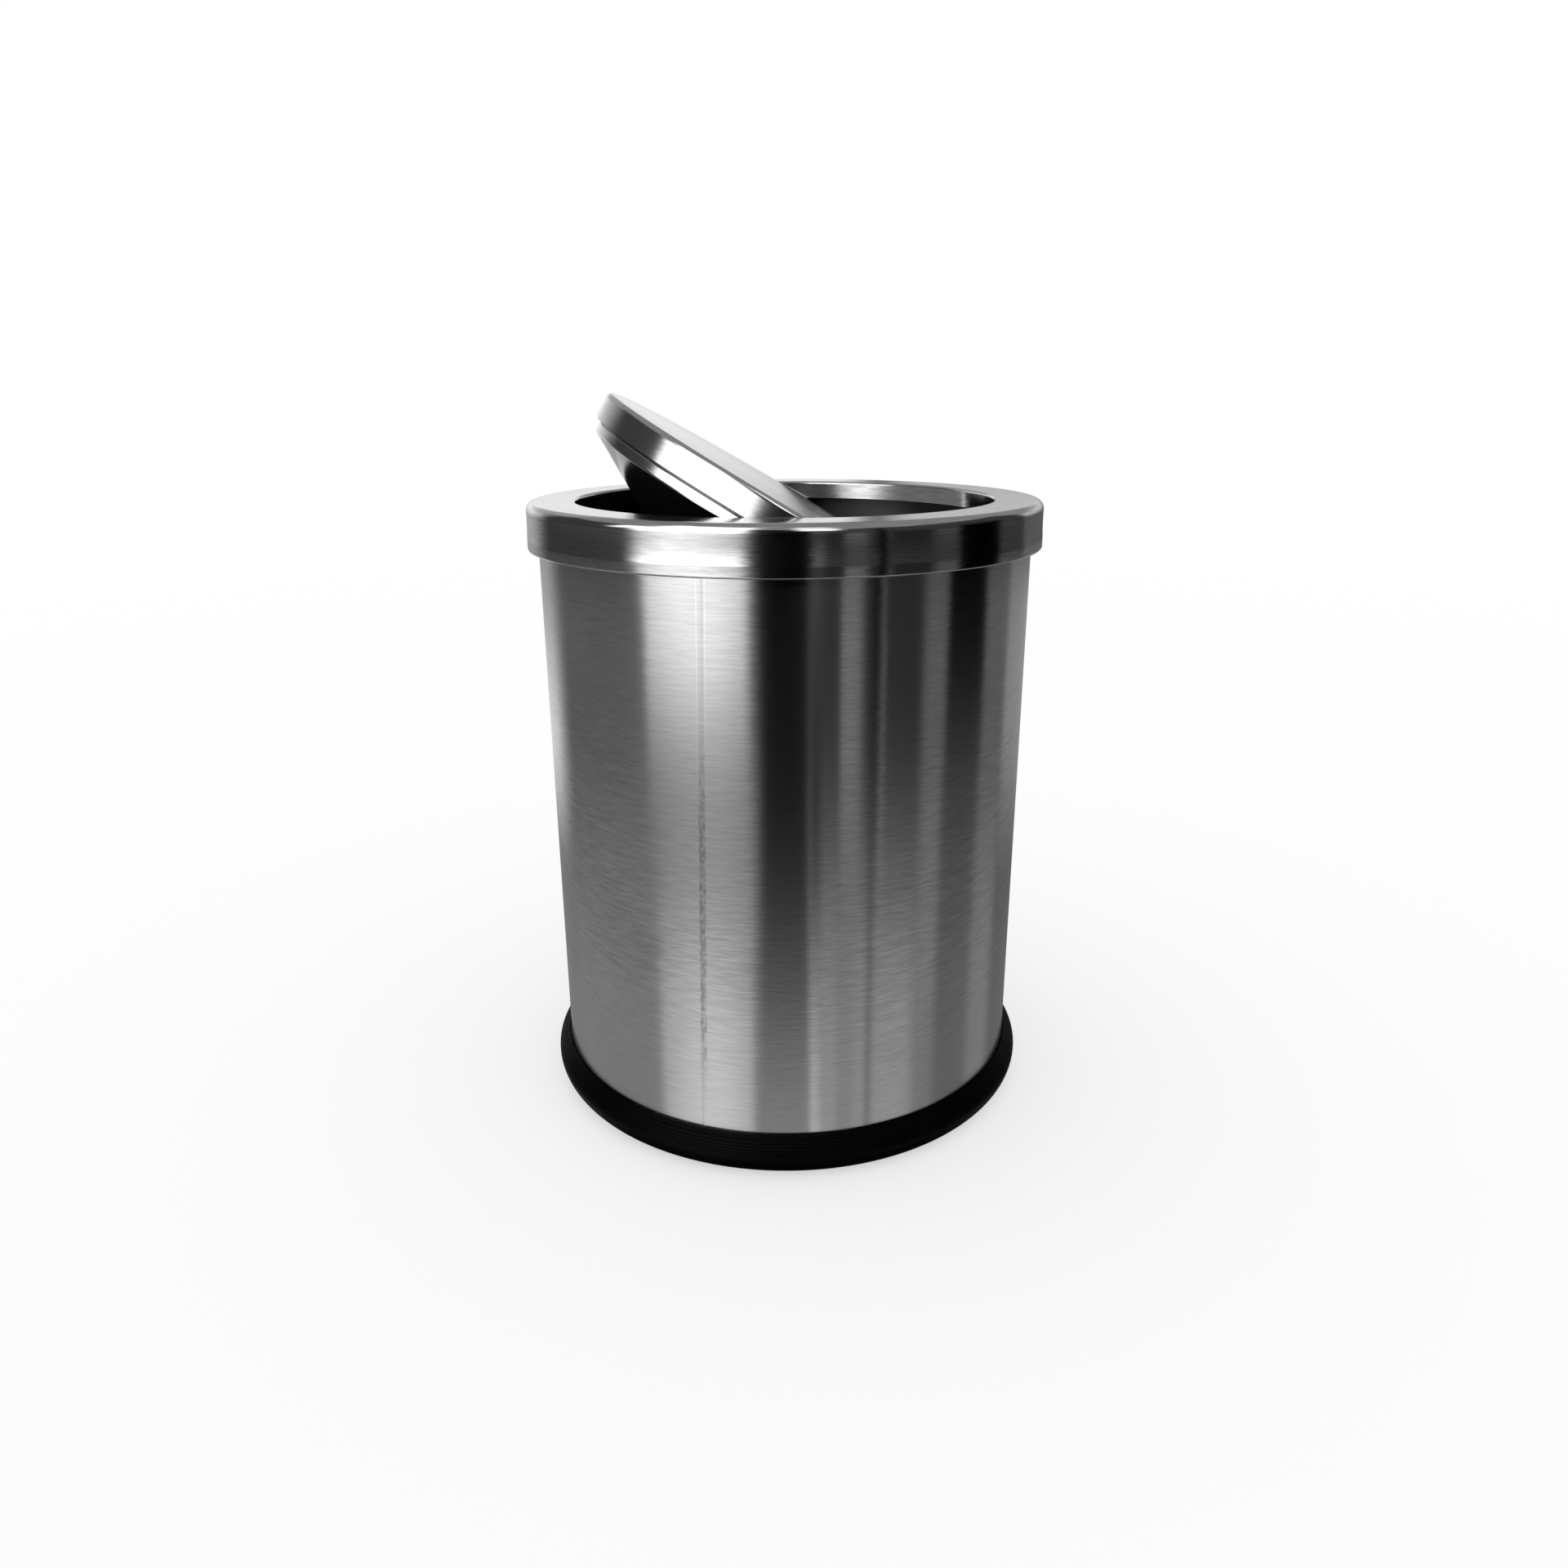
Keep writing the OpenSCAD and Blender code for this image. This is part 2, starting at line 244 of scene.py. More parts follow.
def centred(tree, value, amount):
    return tree.math("MULTIPLY", tree.math("SUBTRACT", value, 0.5), amount)


brushing = {                     # how the grain of every brushed piece is mixed
    "hair": 0.4,
    "streak": 0.45,
    "cloud": 0.15,
    "bendCount": 1.3,            # the leaning of the hairlines is this much finer than the streaks
    "darkest": 0.36,             # the mixed grain at which the colour is darkest, and lightest
    "lightest": 0.64,
    "roughest": 0.3,
    "smoothest": 0.7,
    "hairRelief": 0.35,
    "streakRelief": 0.65,
}


def brushedSteel(name, look):
    tree = Tree(name)
    coords = tree.coords()
    height = tree.part(coords, "Z")
    hair = tree.noise(aroundGrain(tree, look["hairLength"], look["hairCount"]), detail=3, rough=0.7)
    streak = tree.noise(aroundGrain(tree, look["streakLength"], look["streakCount"]), detail=2, rough=0.6)
    cloud = tree.noise(coords, scale=look["cloudScale"], detail=3)
    shade = tree.weighted((hair, brushing["hair"]), (streak, brushing["streak"]), (cloud, brushing["cloud"]))
    tone = tree.remap(shade, brushing["darkest"], brushing["lightest"])
    if "coarseLow" in look:
        tone = fadedGrain(tree, look, height, tone)
    colour = tree.blend(tone, grey(look["dark"], look["tint"]), grey(look["light"], look["tint"]))
    rough = tree.remap(
        shade, brushing["roughest"], brushing["smoothest"], look["roughHigh"], look["roughLow"])
    relief = tree.weighted((hair, brushing["hairRelief"]), (streak, brushing["streakRelief"]))
    if "wallInside" in look:
        colour, rough = shadedRolledInside(tree, look, coords, colour, rough)
    if "grooveLow" in look:
        colour, rough = shadedPanGroove(tree, look, height, colour, rough)
    if "weld" in look:
        colour, relief = groundWeld(tree, look["weld"], coords, colour, relief)
    # each hairline leans a little to one side, which frays the edges of what the steel reflects
    bend = tree.noise(
        aroundGrain(tree, look["streakLength"], look["streakCount"] * brushing["bendCount"]), detail=1)
    tangent = tree.add("Tangent", direction_type="RADIAL", axis="Z").outputs[0]
    facing = tree.add("NewGeometry").outputs["Normal"]
    lean = tree.vector("SCALE", tangent, scale=centred(tree, bend, look["lean"]))
    leaning = tree.vector("NORMALIZE", tree.vector("ADD", facing, lean))
    shader = tree.shader(
        colour, Metallic=1.0, Roughness=rough, Normal=tree.bump(relief, look["grainDepth"], leaning))
    shader.inputs["Anisotropic"].default_value = look["anisotropy"]
    shader.inputs["Anisotropic Rotation"].default_value = 0.25      # a quarter turn from the tangent
    tree.wire(tangent, shader.inputs["Tangent"])
    return tree.material


def fadedGrain(tree, look, height, tone):
    # the brushing shows most round the middle of the tube
    low = tree.remap(
        height, look["coarseLow"] - look["fadeBelow"], look["coarseLow"], look["fineLow"], 1.0)
    high = tree.remap(
        height, look["coarseHigh"] + look["fadeAbove"], look["coarseHigh"], look["fineHigh"], 1.0)
    return tree.math("ADD", centred(tree, tone, tree.product(low, high)), 0.5)


def shadedRolledInside(tree, look, coords, colour, rough):
    # the inside of the tube is rougher, as it was rolled, and its colour is darkened there as painted shade
    reach = tree.length(tree.vector("MULTIPLY", coords, (1, 1, 0)))
    within = tree.math("LESS_THAN", reach, look["wallInside"])
    colour = tree.blend(within, colour, grey(look["insideShadeTone"]))
    return colour, tree.remap(within, 0, 1, rough, look["insideRough"])


def shadedPanGroove(tree, look, height, colour, rough):
    # the groove between the two pans is duller, and its colour is darkened there as painted shade
    above = tree.remap(height, look["grooveLow"] - look["grooveFadeLow"], look["grooveLow"])
    below = tree.remap(height, look["grooveHigh"] + look["grooveFadeHigh"], look["grooveHigh"])
    shadedGroove = tree.product(above, below)
    colour = tree.blend(shadedGroove, colour, grey(look["grooveShadeTone"]))
    return colour, tree.remap(shadedGroove, 0, 1, rough, look["grooveRough"])


def weldDistance(tree, weld, coords):
    # distance round the tube from the weld, in metres
    turn = tree.add("VectorRotate", rotation_type="Z_AXIS")
    tree.wire(coords, turn.inputs["Vector"])
    turn.inputs["Angle"].default_value = -math.radians(weld["angle"])
    place = tree.add("SeparateXYZ")
    tree.wire(turn.outputs[0], place.inputs[0])
    around = tree.math("ARCTAN2", place.outputs["Y"], place.outputs["X"])
    drift = tree.product(tree.math("SUBTRACT", place.outputs["Z"], weld["middle"]), weld["lean"])
    return tree.math("SUBTRACT", tree.product(around, weld["radius"]), drift)


def groundWeld(tree, weld, coords, colour, relief):
    # the weld is ground down: a narrow band polished up and down, between two fine lines
    height = tree.part(coords, "Z")
    away = tree.math("ABSOLUTE", weldDistance(tree, weld, coords))
    fromEdge = tree.math("ABSOLUTE", tree.math("SUBTRACT", away, weld["bandHalf"]))
    band = tree.remap(away, weld["bandHalf"], weld["bandCore"], smooth=True)
    line = tree.remap(fromEdge, weld["lineHalf"], 0.0, smooth=True)
    ground = tree.noise(tree.vector("MULTIPLY", coords, weld["groundScale"]), detail=3)
    relief = tree.math("ADD", relief, tree.product(ground, band, weld["bandRelief"]))
    relief = tree.math("SUBTRACT", relief, tree.product(line, weld["lineRelief"]))
    # it is darker, in dashes, over the middle of its length, and its edge lines are lightened at the top: a
    # painted highlight
    upper = tree.remap(height, weld["shineFrom"], weld["shineFull"], smooth=True)
    lower = tree.remap(height, weld["darkFull"], weld["darkFrom"], smooth=True)
    middle = tree.math("SUBTRACT", tree.math("SUBTRACT", 1.0, upper), lower, clamp=True)
    dash = tree.remap(ground, weld["dashFrom"], weld["dashFull"], weld["dashFaint"], weld["dashStrong"])
    colour = tree.blend(tree.product(band, middle, dash), colour, grey(weld["bandTone"]))
    colour = tree.blend(tree.product(line, upper, weld["shine"]), colour, grey(weld["lineHighlightTone"]))
    return colour, relief


def arc(r, z, radius, start, end, steps):
    return [(r + radius * math.cos(math.radians(start + (end - start) * i / steps)),
             z + radius * math.sin(math.radians(start + (end - start) * i / steps)))
            for i in range(steps + 1)]


def sheetOutline(path, thickness):
    # both sides of a sheet that follows the path, with its thickness on the path's right
    points = [Vector(p) for p in path]
    sides = []
    for a, b in zip(points, points[1:]):
        d = (b - a).normalized()
        sides.append(Vector((d.y, -d.x)))
    inner = []
    for i, p in enumerate(points):
        before = sides[max(i - 1, 0)]
        after = sides[min(i, len(sides) - 1)]
        middle = (before + after).normalized()
        inner.append(p + middle * thickness / middle.dot(before))
    return [tuple(p) for p in points], [tuple(p) for p in inner]


straightSteps = {"shortest": 0.75 * mm, "end": 0.25 * mm, "long": 12 * mm}


def relaxed(path):
    # adds points on long straights, with one close to each end so that bends shade cleanly
    points = [Vector(path[0])]
    for a, b in zip(path, path[1:]):
        a, b = Vector(a), Vector(b)
        length = (b - a).length
        if length > straightSteps["shortest"]:
            count = max(1, round(length / straightSteps["long"]))
            marks = [straightSteps["end"] / length]
            marks += [i / count for i in range(1, count)]
            marks += [1 - straightSteps["end"] / length]
            points += [a.lerp(b, m) for m in marks]
        points.append(b)
    return [tuple(p) for p in points]


def sheetLoop(path, thickness):
    # the closed outline of a sheet, ready to be turned
    outer, inner = sheetOutline(path, thickness)
    return relaxed(outer) + relaxed(inner[::-1])


def evenAngles(count, start=0.0):
    return [start + 360 * i / count for i in range(count)]


turning = {
    "onAxis": 1e-7,              # points closer to the axis than this are one point
    "mapRadius": 0.1,            # the UV map's length round is measured at this radius
}


def turnedColumns(bm, outline, angles, warp, twist):
    # the outline once for each angle
    columns = []
    poles = {}
    for angle in angles:
        column = []
        for i, (r, z) in enumerate(outline):
            turn = math.radians(angle + (twist(z) if twist else 0.0))
            if r >= turning["onAxis"]:
                reach = r + (warp(angle, r, z) if warp else 0.0)
                column.append(bm.verts.new((reach * math.cos(turn), reach * math.sin(turn), z)))
                continue
            if i not in poles:
                poles[i] = bm.verts.new((0, 0, z))
            column.append(poles[i])
        columns.append(column)
    return columns


def joinColumns(bm, columns, angles, lengths):
    # faces all round; the UV map holds the length round and the length along the outline
    uv = bm.loops.layers.uv.new("grain")
    size = len(columns[0])
    following = zip(columns[1:] + columns[:1], angles[1:] + [angles[0] + 360])
    for here, fromAngle, (there, toAngle) in zip(columns, angles, following):
        for i in range(size):
            j = (i + 1) % size
            corners = [(here[i], fromAngle, i), (there[i], toAngle, i),
                       (there[j], toAngle, i + 1), (here[j], fromAngle, i + 1)]
            kept = []
            for corner in corners:
                if all(corner[0] is not other[0] for other in kept):
                    kept.append(corner)
            if len(kept) < 3:
                continue
            face = bm.faces.new([corner[0] for corner in kept])
            face.smooth = True
            for loop, corner in zip(face.loops, kept):
                loop[uv].uv = (math.radians(corner[1]) * turning["mapRadius"], lengths[corner[2]])


def turned(name, outline, angles, warp=None, twist=None):
    # spins a closed outline about Z
    lengths = [0.0]
    for a, b in zip(outline, outline[1:] + outline[:1]):
        lengths.append(lengths[-1] + (Vector(b) - Vector(a)).length)
    bm = bmesh.new()
    joinColumns(bm, turnedColumns(bm, outline, angles, warp, twist), angles, lengths)
    bm.normal_update()
    bmesh.ops.recalc_face_normals(bm, faces=bm.faces)
    return meshPiece(name, bm)


def meshPiece(name, bm):
    # makes the finished mesh an object of the scene
    mesh = bpy.data.meshes.new(name)
    bm.to_mesh(mesh)
    bm.free()
    piece = bpy.data.objects.new(name, mesh)
    scene.collection.objects.link(piece)
    return piece


def applyModifiers(piece):
    graph = bpy.context.evaluated_depsgraph_get()
    mesh = bpy.data.meshes.new_from_object(piece.evaluated_get(graph), depsgraph=graph)
    old = piece.data
    piece.modifiers.clear()
    piece.data = mesh
    bpy.data.meshes.remove(old)
    mesh.name = piece.name


def crisp(piece, angle=32):
    piece.data.shade_smooth()
    piece.data.set_sharp_from_angle(angle=math.radians(angle))


def cutWith(piece, *cutters):
    for cutter in cutters:
        change = piece.modifiers.new("cut", "BOOLEAN")
        change.operation = "DIFFERENCE"
        change.solver = "EXACT"
        change.object = cutter
    bpy.context.view_layer.update()
    applyModifiers(piece)
    for cutter in cutters:
        bpy.data.objects.remove(cutter)


def acrossRod(radius, start, end, height=0.0, count=48):
    # a round cutter that lies along Y
    bm = bmesh.new()
    bmesh.ops.create_cone(
        bm, cap_ends=True, segments=count, radius1=radius, radius2=radius, depth=end - start)
    middle = Matrix.Translation((0, (start + end) / 2, height))
    bm.transform(middle @ Matrix.Rotation(math.pi / 2, 4, "X"))
    return meshPiece("cutter", bm)


def twoRods(radius, inner, outer, height=0.0):
    # the same cutter in front and behind
    return acrossRod(radius, inner, outer, height), acrossRod(radius, -outer, -inner, height)


def finishPiece(piece, body, material, slot, *nodes):
    piece.data.materials.clear()
    piece.data.materials.append(material)
    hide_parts(*nodes)
    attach(piece, body)


tube = {
    "radius": 121.8 * mm,
    "thickness": 0.8 * mm,
    "foot": 3 * mm,              # where its cut edge stands on the base ring
    "rollEnd": -110,             # degrees, where the rolled edge at its top ends
    "segments": 360,
}
weld = {
    "angle": -111,               # its direction from the axis, degrees from +X
    "radius": tube["radius"],
    "lean": 0.019,               # it drifts this much round the tube for each metre up
    "middle": 183 * mm,          # the height at which it has its angle
    "width": 1.4 * mm,
    "proud": 0.12 * mm,
    "steepness": 2.2,
    "marks": (-1.2, -0.8, -0.55, -0.4, -0.2, 0, 0.2, 0.4, 0.55, 0.8, 1.2),     # mesh columns, in widths
    "clear": 1,                  # degrees to each side that hold only those columns
    "bandHalf": 1.9 * mm,        # the ground band is fully ground within its core
    "bandCore": 1.14 * mm,
    "bandTone": 0.2,
    "bandRelief": 0.8,
    "groundScale": (800, 800, 330),
    "lineHalf": 0.4 * mm,
    # the line tone is a painted highlight on the weld's edge lines near the top
    "lineHighlightTone": 0.9,
    "lineRelief": 0.55,
    "shine": 0.35,
    "shineFrom": 0.17,           # heights between which the painted highlight on the lines comes in
    "shineFull": 0.23,
    "darkFrom": 0.03,            # heights between which the dark dashes come in
    "darkFull": 0.08,
    "dashFrom": 0.44,
    "dashFull": 0.58,
    "dashFaint": 0.15,
    "dashStrong": 0.6,
}
bodySteel = brushedSteel("bodySteel", {
    "hairLength": 14.0, "hairCount": 1700.0, "streakLength": 9.0, "streakCount": 850.0,
    "cloudScale": 22.0, "dark": 0.5, "light": 0.77, "tint": 0.004, "lean": 0.016,
    "roughLow": 0.15, "roughHigh": 0.2, "grainDepth": 0.000014, "anisotropy": 0.9,
    "coarseLow": 0.11, "coarseHigh": 0.19, "fadeBelow": 0.07, "fadeAbove": 0.05,
    # the inside tone is painted shade: it darkens the inside of the tube
    "fineLow": 0.25, "fineHigh": 0.4, "insideShadeTone": 0.1, "insideRough": 0.42,
    "wallInside": tube["radius"] - tube["thickness"] / 2, "weld": weld})


def makeTube(look, weld):
    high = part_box("body_tube")[1]
    rollRadius = (high.x - look["radius"]) / 2
    rollCentre = high.z - rollRadius
    path = [(look["radius"], look["foot"])]
    path += arc(look["radius"] + rollRadius, rollCentre, rollRadius, 180, look["rollEnd"], 20)
    perMetre = math.degrees(1 / look["radius"])      # degrees round for each metre
    close = [weld["angle"] + perMetre * weld["width"] * mark for mark in weld["marks"]]
    last = weld["angle"] + 360 - weld["clear"] / 2
    even = [a for a in evenAngles(look["segments"], weld["angle"] + weld["clear"]) if a < last]

    def stands(angle, r, z):
        # how far the weld stands proud, on the outside only
        off = (angle - weld["angle"] + 180) % 360 - 180
        across = math.radians(off) * r / weld["width"]
        if abs(r - look["radius"]) > 0.01 * mm or z >= rollCentre:
            return 0.0
        return weld["proud"] * math.exp(-(weld["steepness"] * across) ** 2)

    def leans(z):
        return perMetre * weld["lean"] * (z - weld["middle"])

    piece = turned("bodyTube", sheetLoop(path, -look["thickness"]), sorted(close + even), stands, leans)
    crisp(piece)
    finishPiece(piece, "bin", bodySteel, "brushed_body", "body_tube")


makeTube(tube, weld)
print("body tube made")


bottom = {
    "radius": 120.9 * mm,
    "thickness": 0.8 * mm,
    "foot": 3 * mm,
    "lift": 12 * mm,
    "step": 2 * mm,
    "margin": 18 * mm,
    "bend": 3 * mm,
    "stepBend": 4 * mm,
    "stepPoints": 9,
    "segments": 240,
}
innerSteel = brushedSteel("innerSteel", {
    "hairLength": 6.0, "hairCount": 500.0, "streakLength": 9.0, "streakCount": 240.0,
    "cloudScale": 40.0, "dark": 0.48, "light": 0.6, "tint": 0.004, "lean": 0.02,
    "roughLow": 0.26, "roughHigh": 0.38, "grainDepth": 0.00002, "anisotropy": 0.3})


def makeBottom(look):
    # a raised middle, a soft step down, a low margin, and a flange down to the base ring
    stepRadius = look["radius"] - look["margin"]
    path = [(0, look["lift"] + look["step"])]
    for i in range(look["stepPoints"]):
        share = i / (look["stepPoints"] - 1)
        path.append((stepRadius - look["stepBend"] * (1 - share),
                     look["lift"] + look["step"] * (0.5 + 0.5 * math.cos(math.pi * share))))
    path += arc(look["radius"] - look["bend"], look["lift"] - look["bend"], look["bend"], 90, 0, 8)
    path.append((look["radius"], look["foot"]))
    piece = turned("bottomPanel", sheetLoop(path, look["thickness"]), evenAngles(look["segments"]))
    crisp(piece)
    finishPiece(piece, "bin", innerSteel, "inner_steel", "bottom_plate")


makeBottom(bottom)
print("bottom panel made")


lid = {
    "width": 23.8 * mm,
    "thickness": 0.8 * mm,
    "cornerRadius": 4 * mm,
    "waist": 0.27 * mm,          # the skirt starts this much inside its hem
    "flare": 2.2,                # and curves out to it
    "skirtPoints": 12,
    "hemHeight": 5 * mm,
    "hemEdge": 0.3 * mm,
    "hemCut": 1.8,               # its cut edge is this many thicknesses in from the skirt's outside
    "hemSeat": 1.05,             # and it meets the skirt's inside here
    "lipDepth": 9.2 * mm,
    "lipBend": 1.4 * mm,
    "lipClear": 3 * mm,          # further in than this nothing belongs to the hem
    "notchRadius": 3.3 * mm,
    "notchIn": 2 * mm,
    "notchOut": 2.2 * mm,
    "segments": 384,
    "firstColumn": 90.2,         # degrees, so that no column lies on the middle of a notch
}
ringSteel = brushedSteel("ringSteel", {
    "hairLength": 10.0, "hairCount": 2600.0, "streakLength": 12.0, "streakCount": 900.0,
    "cloudScale": 30.0, "dark": 0.52, "light": 0.76, "tint": 0.003, "lean": 0.03,
    "roughLow": 0.11, "roughHigh": 0.16, "grainDepth": 0.00001, "anisotropy": 0.5})


def lidOutline(look):
    opening = ringRadius - look["width"]
    bend = look["lipBend"]
    corner = look["cornerRadius"]
    t = look["thickness"]
    skirtTop = ringTop - corner
    hemTop = lidLow.z + look["hemHeight"]
    path = [(opening, ringTop - look["lipDepth"])]
    path += arc(opening + bend, ringTop - bend, bend, 180, 90, 8)
    path += arc(ringRadius - look["waist"] - corner, skirtTop, corner, 90, 0, 14)
    for i in range(1, look["skirtPoints"]):
        share = i / look["skirtPoints"]
        path.append((ringRadius - look["waist"] * (1 - share) * (1 + look["flare"] * share),
                     skirtTop + (hemTop - skirtTop) * share))
    path.append((ringRadius, hemTop))
    outer, inner = sheetOutline(path, t)
    # the hem lies flat against the inside of the skirt
    hem = [(ringRadius, hemTop)] + arc(ringRadius - t, lidLow.z + t, t, 0, -180, 12)
    hem += [(ringRadius - 2 * t, hemTop - look["hemEdge"]),
            (ringRadius - look["hemCut"] * t, hemTop),
            (ringRadius - look["hemSeat"] * t, hemTop),
            (ringRadius - look["hemSeat"] * t, hemTop + look["hemEdge"] / 2)]
    back = [p for p in inner if p[1] > hemTop + look["hemEdge"] or p[0] < ringRadius - look["lipClear"]]
    return relaxed(outer) + relaxed(hem)[1:] + relaxed(back[::-1])


def makeLid(look):
    opening = ringRadius - look["width"]
    inner = opening - look["notchIn"]
    outer = opening + look["notchOut"]
    piece = turned("lidRing", lidOutline(look), evenAngles(look["segments"], look["firstColumn"]))
    cutWith(piece, *twoRods(look["notchRadius"], inner, outer, pivot.z))
    crisp(piece)
    finishPiece(piece, "lid", ringSteel, "brushed_ring", "lid_ring")


makeLid(lid)
print("lid ring made")


flap = {
    "tilt": 30.1,
    "gap": 1.0 * mm,
    "rise": 8.6 * mm,
    "height": 12.8 * mm,
    "thickness": 0.8 * mm,
    "edgeRadius": 2.4 * mm,
    "seam": 0.6 * mm,
    "bandHeight": 5.8 * mm,
    "bandInset": 2.6 * mm,
    "collarHeight": 4 * mm,
    "slopeOut": 31,
    "slopeIn": 37,
    "hubRadius": 36 * mm,
    "bendRadius": 1.2 * mm,
    "play": 0.1 * mm,
    "screwHole": 2 * mm,
    "holeIn": 3 * mm,            # the hole's cutter starts this far inside the rim
    "holeOut": 1 * mm,
    "collarNotch": 4.8 * mm,
    "notchIn": 4 * mm,
    "weightHole": 3.1 * mm,
    "drillBelow": 1 * mm,
    "drillAbove": 2 * mm,
    "segments": 360,
    "firstColumn": 0.4,          # degrees, so that no column lies on the middle of a hole
}
flapSteel = brushedSteel("flapSteel", {
    "hairLength": 10.0, "hairCount": 2600.0, "streakLength": 14.0, "streakCount": 900.0,
    "cloudScale": 30.0, "dark": 0.62, "light": 0.74, "tint": 0.002, "lean": 0.02,
    "roughLow": 0.13, "roughHigh": 0.19, "grainDepth": 0.000008, "anisotropy": 0.4,
    # the groove tone is painted shade in the groove between the two pans
    "grooveLow": -4.85 * mm, "grooveHigh": -4.25 * mm, "grooveFadeLow": 0.1 * mm,
    "grooveFadeHigh": 0.05 * mm, "grooveShadeTone": 0.012, "grooveRough": 0.38})
flapRadius = ringRadius - lid["width"] - flap["gap"]
flapPlace = Matrix.Translation(pivot) @ Matrix.Rotation(math.radians(flap["tilt"]), 4, "Y")


def placeInFlap(piece):
    piece.matrix_world = flapPlace
    bpy.context.view_layer.update()


def makeTopPan(look):
    edge = look["edgeRadius"]
    path = [(0, look["rise"])]
    path += arc(flapRadius - edge, look["rise"] - edge, edge, 90, 0, 12)
    path.append((flapRadius, look["rise"] - look["height"]))
    piece = turned("flapTopPan", sheetLoop(path, look["thickness"]),
                   evenAngles(look["segments"], look["firstColumn"]))
    cutWith(piece, *twoRods(look["screwHole"], flapRadius - look["holeIn"], flapRadius + look["holeOut"]))
    crisp(piece)
    placeInFlap(piece)
    finishPiece(piece, "flap", flapSteel, "flap_steel", "flap_top_pan")


def makeConePan(look):
    skirtEnd = look["rise"] - look["height"]
    bandRadius = flapRadius - look["bandInset"]
    bandTop = skirtEnd - look["seam"]
    bandEnd = bandTop - look["bandHeight"]
    collar = flapRadius - look["thickness"] - look["play"]
    half = (bandRadius - look["hubRadius"]) / 2
    midRadius = bandRadius - half
    midHeight = bandEnd - half * math.tan(math.radians(look["slopeOut"]))
    hubHeight = midHeight - half * math.tan(math.radians(look["slopeIn"]))
    bend = look["bendRadius"]
    path = [(collar, skirtEnd + look["collarHeight"]), (collar, skirtEnd - look["seam"] / 2)]
    path += arc(bandRadius - bend, bandTop - bend, bend, 60, 0, 6)
    path += arc(bandRadius - bend, bandEnd + bend, bend, 0, look["slopeOut"] - 90, 8)
    path += [(midRadius, midHeight), (look["hubRadius"], hubHeight), (0, hubHeight)]
    piece = turned("flapConePan", sheetLoop(path, look["thickness"]),
                   evenAngles(look["segments"], look["firstColumn"]))
    drill = acrossRod(look["weightHole"], hubHeight - look["drillBelow"], hubHeight + look["drillAbove"])
    drill.data.transform(Matrix.Rotation(math.pi / 2, 4, "X"))      # it stands upright
    notches = twoRods(look["collarNotch"], collar - look["notchIn"], flapRadius + look["holeOut"])
    cutWith(piece, *notches, drill)
    crisp(piece)
    placeInFlap(piece)
    finishPiece(piece, "flap", flapSteel, "flap_steel", "flap_cone_pan")


makeTopPan(flap)
makeConePan(flap)
print("flap made")


def blackRubber(look):
    tree = Tree("blackRubber")
    coords = tree.coords()
    grain = tree.noise(coords, scale=look["grainScale"], detail=3)
    cloud = tree.noise(coords, scale=look["cloudScale"], detail=2)
    dust = tree.noise(coords, scale=look["dustScale"], detail=4, rough=0.7)
    specks = tree.remap(dust, look["dustFrom"], look["dustFull"])
    colour = tree.blend(cloud, grey(look["dark"]), grey(look["light"]))
    colour = tree.blend(specks, colour, grey(look["dust"]))
    rough = tree.remap(cloud, 0.3, 0.7, look["roughLow"], look["roughHigh"])
    shader = tree.shader(colour, Roughness=rough, Normal=tree.bump(grain, look["grainDepth"]))
    shader.inputs["Specular IOR Level"].default_value = look["shine"]
    return tree.material


base = {
    "radius": 128.7 * mm,
    "height": 20 * mm,
    "inner": 111 * mm,
    "seat": 121.9 * mm,
    "seatEdge": 0.5 * mm,
    "web": 3 * mm,
    "widest": 10.5 * mm,         # height of its widest line
    "wallPoints": 14,
    "footInset": 6.5 * mm,
    "topInset": 4.6 * mm,
    "edgeRadius": 1 * mm,
    "ribs": 6,
    "ribPitch": 1.4 * mm,
    "ribStart": 0.14 * mm,       # the top rib begins this far up the rounded edge
    "ribDepth": 0.4 * mm,
    "ribPoints": 10,
    "ribSharpness": 3,
    "segments": 320,
}
baseBlack = blackRubber({
    "grainScale": 2600.0, "cloudScale": 60.0, "dustScale": 420.0, "dustFrom": 0.68, "dustFull": 0.76,
    "dark": 0.0004, "light": 0.0012, "dust": 0.005, "shine": 0.05,
    "roughLow": 0.34, "roughHigh": 0.46, "grainDepth": 0.00002})


def makeBase(look):
    edge = look["edgeRadius"]

    def wall(z):
        # radius of the wall at the height z: it is drawn in above and below its widest line
        if z > look["widest"]:
            span, inset = look["height"] - edge - look["widest"], look["topInset"]
        else:
            span, inset = look["widest"], look["footInset"]
        turn = (span * span + inset * inset) / (2 * inset)
        return look["radius"] - turn + math.sqrt(turn * turn - (z - look["widest"]) ** 2)

    heights = [look["widest"] * i / look["wallPoints"] for i in range(look["wallPoints"] + 1)]
    outline = [(look["inner"], 0)] + [(wall(z), z) for z in heights]
    ribTop = look["height"] - edge + look["ribStart"]
    ribLow = ribTop - look["ribs"] * look["ribPitch"]
    steps = look["ribs"] * look["ribPoints"]
    for i in range(steps + 1):
        z = ribLow + (ribTop - ribLow) * i / steps
        wave = 0.5 - 0.5 * math.cos(2 * math.pi * i / look["ribPoints"])
        if z > look["widest"]:
            outline.append((wall(z) - look["ribDepth"] * wave ** look["ribSharpness"], z))
    outline += arc(wall(ribTop) - edge, look["height"] - edge, edge, 30, 90, 8)
    outline += [(look["seat"] + look["seatEdge"], look["height"]),
                (look["seat"], look["height"] - look["seatEdge"]),
                (look["seat"], look["web"]),
                (look["inner"], look["web"])]
    piece = turned("baseRing", outline, evenAngles(look["segments"]))
    crisp(piece)
    finishPiece(piece, "bin", baseBlack, "base_black", "base_ring")


makeBase(base)
print("base ring made")


